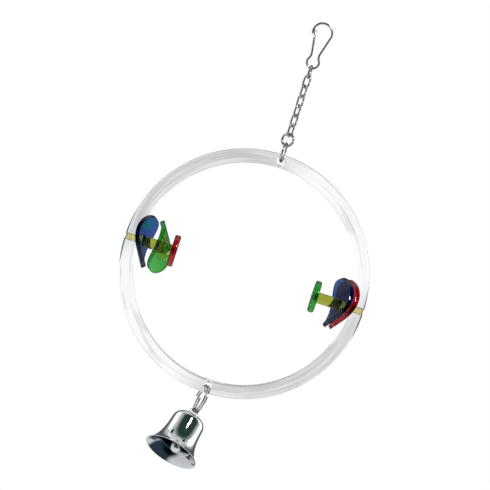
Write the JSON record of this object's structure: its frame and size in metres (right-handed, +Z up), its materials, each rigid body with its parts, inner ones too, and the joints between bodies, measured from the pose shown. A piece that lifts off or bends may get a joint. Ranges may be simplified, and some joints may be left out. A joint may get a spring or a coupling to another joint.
{
  "type": "bird swing",
  "caption": "Hanging bird swing: clear ring perch on a chain and spring clip, bent plastic discs that spin on inward pins, and a bell with a clapper below.",
  "frame": {"origin": "where the cage bar bears on the inside of the clip's top bend", "axes": "+Z up along the hanging chain, +X to the viewer's right in the plane of the perch ring, +Y away from the viewer along the cage bar"},
  "size_m": [0.178, 0.0536, 0.3323],
  "materials": {
    "clip_wire": "nickel plated spring wire",
    "chain_wire": "nickel plated wire",
    "ring_wire": "nickel plated wire",
    "clear_acrylic": "clear, polished",
    "yellow_acrylic": "tinted, polished",
    "red_acrylic": "tinted, polished",
    "green_acrylic": "tinted, polished",
    "blue_acrylic": "tinted, polished",
    "bell_plate": "nickel plated, polished",
    "bell_wire": "nickel plated wire",
    "clapper_metal": "nickel plated, polished"
  },
  "bodies": {
    "clip": {"clip_body": "clip_wire"},
    "gate": {"clip_gate": "clip_wire"},
    "link_1": {"chain_link_1": "chain_wire"},
    "link_2": {"chain_link_2": "chain_wire"},
    "link_3": {"chain_link_3": "chain_wire"},
    "link_4": {"chain_link_4": "chain_wire"},
    "link_5": {"chain_link_5": "chain_wire"},
    "link_6": {"chain_link_6": "chain_wire"},
    "link_7": {"chain_link_7": "chain_wire"},
    "jump": {"jump_ring": "ring_wire"},
    "hanger": {"hanger_ring": "ring_wire"},
    "perch": {"perch_ring": "clear_acrylic", "left_pin": "yellow_acrylic", "left_cap": "red_acrylic", "right_pin": "yellow_acrylic", "right_cap": "green_acrylic"},
    "left_outer_disc": {"left_outer_disc": "blue_acrylic"},
    "left_inner_disc": {"left_inner_disc": "green_acrylic"},
    "right_outer_disc": {"right_outer_disc": "red_acrylic"},
    "right_inner_disc": {"right_inner_disc": "blue_acrylic"},
    "split_ring": {"split_ring": "ring_wire"},
    "bell": {"bell_eye": "bell_wire", "bell_shell": "bell_plate"},
    "clapper": {"clapper_stem": "bell_wire", "clapper_ball": "clapper_metal"}
  },
  "joints": [
    {"name": "gate_spring", "type": "hinge", "parent": "clip", "child": "gate", "pos_m": [-0.0043, 0, -0.0281], "axis": [0, 1, 0], "range_deg": [0, 20], "stiffness_Nm_per_rad": 0.3},
    {"name": "link_1_swing", "type": "hinge", "parent": "clip", "child": "link_1", "pos_m": [0, 0, -0.0324], "axis": [1, 0, 0], "range_deg": [-20, 20]},
    {"name": "link_2_swing", "type": "hinge", "parent": "link_1", "child": "link_2", "pos_m": [0, 0, -0.03963], "axis": [0.309, 0.9511, 0], "range_deg": [-20, 20]},
    {"name": "link_3_swing", "type": "hinge", "parent": "link_2", "child": "link_3", "pos_m": [0, 0, -0.04691], "axis": [0.848, -0.5299, 0], "range_deg": [-20, 20]},
    {"name": "link_4_swing", "type": "hinge", "parent": "link_3", "child": "link_4", "pos_m": [0, 0, -0.05419], "axis": [0.6691, 0.7431, 0], "range_deg": [-20, 20]},
    {"name": "link_5_swing", "type": "hinge", "parent": "link_4", "child": "link_5", "pos_m": [0, 0, -0.06147], "axis": [0.7431, -0.6691, 0], "range_deg": [-20, 20]},
    {"name": "link_6_swing", "type": "hinge", "parent": "link_5", "child": "link_6", "pos_m": [0, 0, -0.06875], "axis": [0.6691, 0.7431, 0], "range_deg": [-20, 20]},
    {"name": "link_7_swing", "type": "hinge", "parent": "link_6", "child": "link_7", "pos_m": [0, 0, -0.07603], "axis": [0.7431, -0.6691, 0], "range_deg": [-20, 20]},
    {"name": "jump_swing", "type": "hinge", "parent": "link_7", "child": "jump", "pos_m": [0, 0, -0.08331], "axis": [0.6428, 0.766, 0], "range_deg": [-20, 20]},
    {"name": "hanger_swing", "type": "hinge", "parent": "jump", "child": "hanger", "pos_m": [0, 0, -0.09034], "axis": [0.866, -0.5, 0], "range_deg": [-20, 20]},
    {"name": "perch_swing", "type": "hinge", "parent": "hanger", "child": "perch", "pos_m": [0, 0, -0.10188], "axis": [0, 1, 0], "range_deg": [-25, 25]},
    {"name": "left_outer_disc_spin", "type": "hinge", "parent": "perch", "child": "left_outer_disc", "pos_m": [0, 0, -0.18588], "axis": [1, 0, 0], "range_deg": [-3, 40]},
    {"name": "left_inner_disc_spin", "type": "hinge", "parent": "perch", "child": "left_inner_disc", "pos_m": [0, 0, -0.18588], "axis": [1, 0, 0], "range_deg": [-30, 30]},
    {"name": "right_outer_disc_spin", "type": "hinge", "parent": "perch", "child": "right_outer_disc", "pos_m": [0, 0, -0.18588], "axis": [1, 0, 0], "range_deg": [-5, 40]},
    {"name": "right_inner_disc_spin", "type": "hinge", "parent": "perch", "child": "right_inner_disc", "pos_m": [0, 0, -0.18588], "axis": [1, 0, 0], "range_deg": [-5, 40]},
    {"name": "split_ring_swing", "type": "hinge", "parent": "perch", "child": "split_ring", "pos_m": [0, 0, -0.26988], "axis": [0, 1, 0], "range_deg": [-44, 26]},
    {"name": "bell_swing", "type": "hinge", "parent": "split_ring", "child": "bell", "pos_m": [-0.00287, 0, -0.28799], "axis": [0.9755, -0.1564, -0.1545], "range_deg": [-6.5, 57.5]},
    {"name": "clapper_swing", "type": "hinge", "parent": "bell", "child": "clapper", "pos_m": [-0.00547, -0.00534, -0.29905], "axis": [0.9755, -0.1564, -0.1545], "range_deg": [-52, 1]}
  ],
  "couplings": [
    {"joint": "right_inner_disc_spin", "follows": "right_outer_disc_spin", "ratio": 1}
  ]
}
